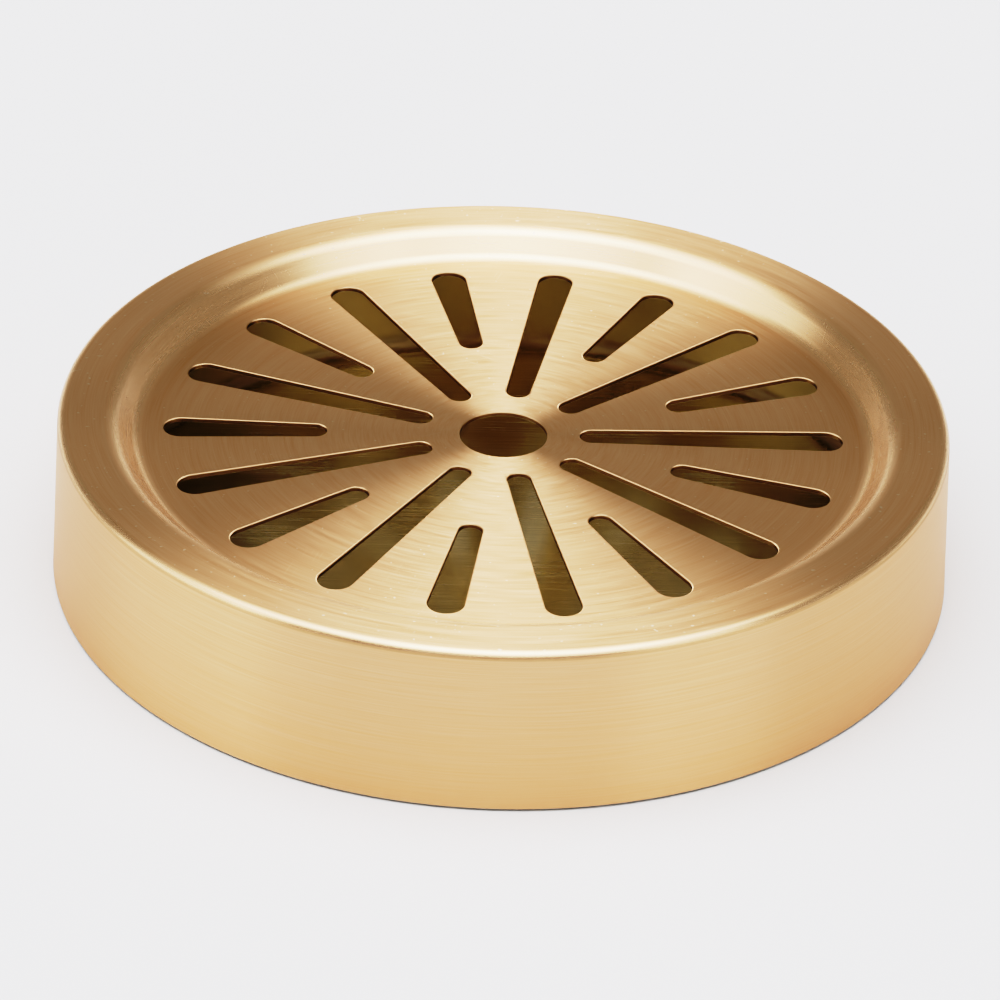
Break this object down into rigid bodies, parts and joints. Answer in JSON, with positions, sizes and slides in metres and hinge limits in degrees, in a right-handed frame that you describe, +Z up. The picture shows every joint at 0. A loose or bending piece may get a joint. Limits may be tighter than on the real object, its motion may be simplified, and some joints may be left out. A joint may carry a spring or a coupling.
{
  "type": "round countertop drip tray",
  "caption": "Round brushed drip tray: a slotted, recessed cover with a finger hole lifts off a shallow catch pan on soft pads.",
  "frame": {"origin": "on the tray's axis, at the level of the counter that the pads stand on", "axes": "+Z up along the tray's axis; +X along the middle of one long slot"},
  "size_m": [0.1524, 0.1524, 0.029],
  "materials": {
    "cover_metal": "satin, brushed in circles round the axis on the plate, shoulder and skirt",
    "pan_metal": "satin, with a straight grain across the floor",
    "pad_rubber": "matt, soft"
  },
  "bodies": {
    "pan": {"catch_pan": "pan_metal", "non_slip_pad_1": "pad_rubber", "non_slip_pad_2": "pad_rubber", "non_slip_pad_3": "pad_rubber", "non_slip_pad_4": "pad_rubber"},
    "cover": {"slotted_cover": "cover_metal"}
  },
  "joints": [
    {"name": "cover_lift", "type": "slide", "parent": "pan", "child": "cover", "axis": [0, 0, 1], "range_m": [0, 0.05]}
  ]
}
